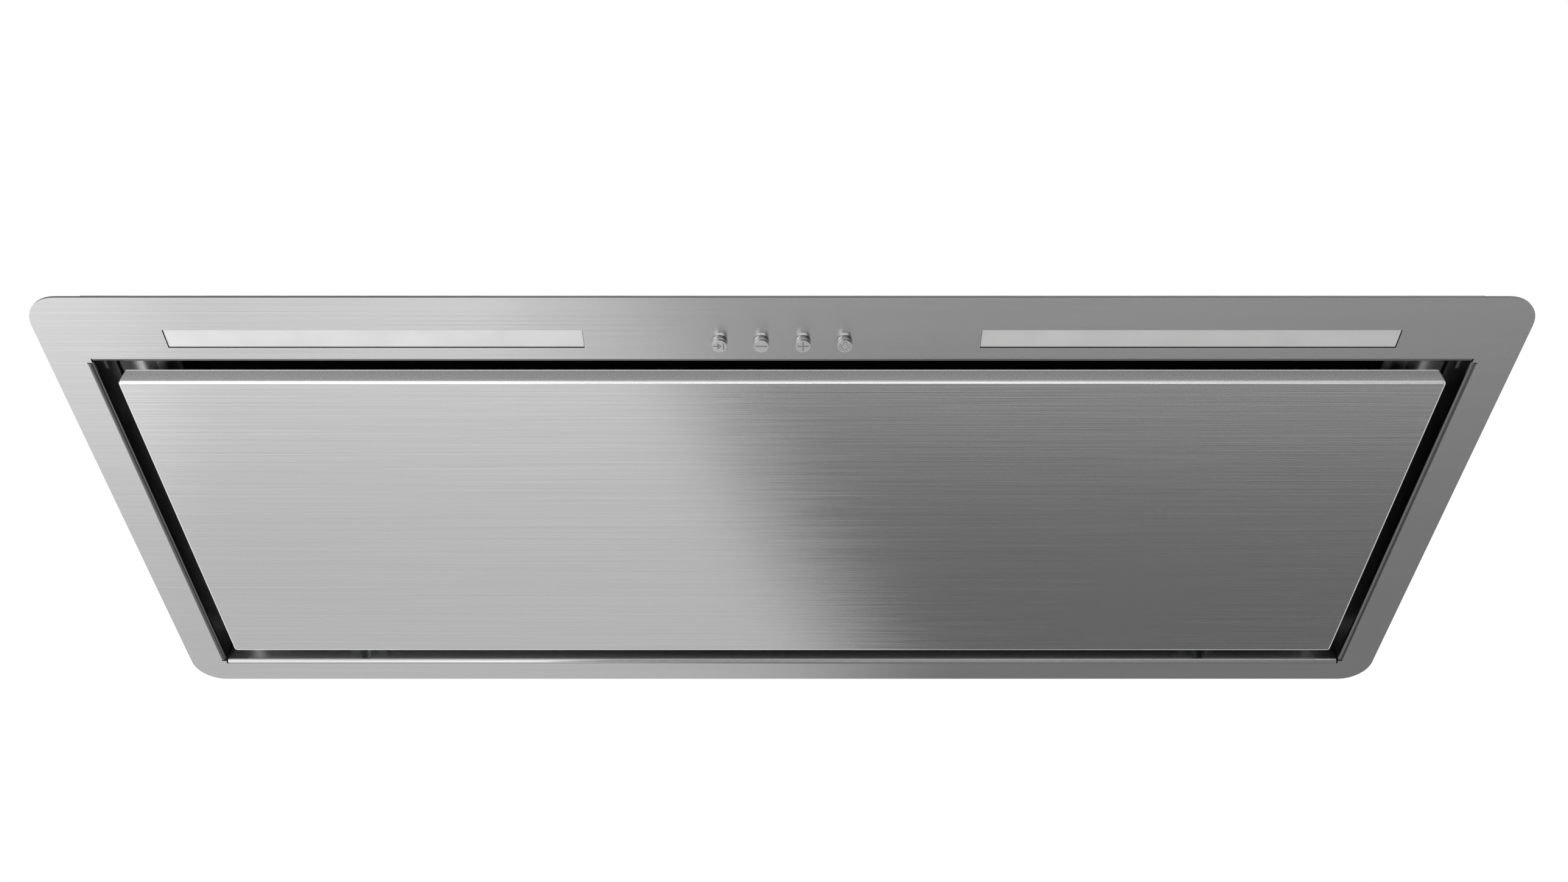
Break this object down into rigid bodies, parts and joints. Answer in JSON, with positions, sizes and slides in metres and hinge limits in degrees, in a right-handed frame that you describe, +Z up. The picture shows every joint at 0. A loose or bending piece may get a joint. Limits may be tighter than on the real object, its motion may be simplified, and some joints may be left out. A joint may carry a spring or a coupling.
{
  "type": "built-in range hood",
  "caption": "Flush built-in range hood: steel face frame with light bars and push buttons, hinged perimeter-suction panel, grease filters, blower in a tower and a round duct collar.",
  "frame": {"origin": "centre of the cabinet cut-out, in the plane where the face frame's back meets the cabinet's underside", "axes": "+X to the right and +Y to the rear as seen by a person at the hob, +Z up towards the duct"},
  "size_m": [0.7, 0.282, 0.3124],
  "materials": {
    "brushed_stainless": "brushed",
    "galvanised_sheet": "satin",
    "zinc_plated_steel": "plated",
    "spring_steel": "satin",
    "polished_button": "polished",
    "frosted_diffuser": "frosted",
    "white_moulding": "moulded",
    "black_moulding": "moulded",
    "light_grey_housing": "moulded",
    "circuit_board": "laminate",
    "white_circuit_board": "laminate",
    "black_coated_steel": "powder coated",
    "black_mesh": "woven",
    "motor_casting": "cast",
    "capacitor_case": "moulded",
    "rubber": "moulded",
    "ferrite_magnet": "sintered"
  },
  "bodies": {
    "hood_body": {"trim_frame": "brushed_stainless", "recess_ceiling": "brushed_stainless", "body_box": "galvanised_sheet", "motor_tower": "galvanised_sheet", "tower_flange": "galvanised_sheet", "outlet_adapter": "galvanised_sheet", "duct_collar": "galvanised_sheet", "flap_pin": "zinc_plated_steel", "scroll_wrap": "galvanised_sheet", "scroll_side_left": "galvanised_sheet", "scroll_side_right": "galvanised_sheet", "motor_body": "motor_casting", "motor_bracket": "galvanised_sheet", "motor_grommets": "rubber", "button_carrier": "black_moulding", "switch_board": "circuit_board", "push_switches": "white_moulding", "control_box": "light_grey_housing", "control_box_lid": "light_grey_housing", "control_board": "circuit_board", "run_capacitor": "capacitor_case", "cable_gland": "black_moulding", "tower_screws": "zinc_plated_steel", "bracket_screws": "zinc_plated_steel", "hinge_screws": "zinc_plated_steel", "lid_screws": "zinc_plated_steel", "light_lens_left": "frosted_diffuser", "light_lens_right": "frosted_diffuser", "light_channel_left": "white_moulding", "light_channel_right": "white_moulding", "led_board_left": "white_circuit_board", "led_board_right": "white_circuit_board", "panel_magnet_left": "ferrite_magnet", "panel_magnet_right": "ferrite_magnet", "hinge_bracket_left": "zinc_plated_steel", "hinge_bracket_right": "zinc_plated_steel", "filter_frame_left": "black_coated_steel", "filter_frame_right": "black_coated_steel", "filter_mesh_left": "black_mesh", "filter_mesh_right": "black_mesh", "cabinet_spring_left": "spring_steel", "cabinet_spring_right": "spring_steel"},
    "panel": {"perimeter_panel": "brushed_stainless", "panel_stiffener": "galvanised_sheet", "hinge_leaf_left": "zinc_plated_steel", "hinge_leaf_right": "zinc_plated_steel", "hinge_pin_left": "zinc_plated_steel", "hinge_pin_right": "zinc_plated_steel"},
    "button_timer": {"button_timer": "polished_button"},
    "button_minus": {"button_minus": "polished_button"},
    "button_plus": {"button_plus": "polished_button"},
    "button_lamp": {"button_lamp": "polished_button"},
    "fan_wheel": {"impeller": "black_moulding", "motor_shaft": "zinc_plated_steel"},
    "flap_rear": {"flap_rear": "black_moulding"},
    "flap_front": {"flap_front": "black_moulding"},
    "latch_left": {"filter_latch_left": "black_moulding"},
    "latch_right": {"filter_latch_right": "black_moulding"}
  },
  "joints": [
    {"name": "panel_hinge", "type": "hinge", "parent": "hood_body", "child": "panel", "pos_m": [0, 0.109, 0.005], "axis": [1, 0, 0], "range_deg": [0, 90]},
    {"name": "press_timer", "type": "slide", "parent": "hood_body", "child": "button_timer", "axis": [0, 0, 1], "range_m": [0, 0.0015], "stiffness_N_per_m": 500, "springref_m": -0.001},
    {"name": "press_minus", "type": "slide", "parent": "hood_body", "child": "button_minus", "axis": [0, 0, 1], "range_m": [0, 0.0015], "stiffness_N_per_m": 500, "springref_m": -0.001},
    {"name": "press_plus", "type": "slide", "parent": "hood_body", "child": "button_plus", "axis": [0, 0, 1], "range_m": [0, 0.0015], "stiffness_N_per_m": 500, "springref_m": -0.001},
    {"name": "press_lamp", "type": "slide", "parent": "hood_body", "child": "button_lamp", "axis": [0, 0, 1], "range_m": [0, 0.0015], "stiffness_N_per_m": 500, "springref_m": -0.001},
    {"name": "fan_spin", "type": "hinge", "parent": "hood_body", "child": "fan_wheel", "pos_m": [0, -0.028, 0.158], "axis": [1, 0, 0], "continuous": true},
    {"name": "flap_rear_hinge", "type": "hinge", "parent": "hood_body", "child": "flap_rear", "pos_m": [0, 0.03, 0.276], "axis": [1, 0, 0], "range_deg": [0, 75]},
    {"name": "flap_front_hinge", "type": "hinge", "parent": "hood_body", "child": "flap_front", "pos_m": [0, 0.03, 0.276], "axis": [-1, 0, 0], "range_deg": [0, 75]},
    {"name": "latch_slide_left", "type": "slide", "parent": "hood_body", "child": "latch_left", "axis": [0, 1, 0], "range_m": [0, 0.005], "stiffness_N_per_m": 300, "springref_m": -0.002},
    {"name": "latch_slide_right", "type": "slide", "parent": "hood_body", "child": "latch_right", "axis": [0, 1, 0], "range_m": [0, 0.005], "stiffness_N_per_m": 300, "springref_m": -0.002}
  ]
}
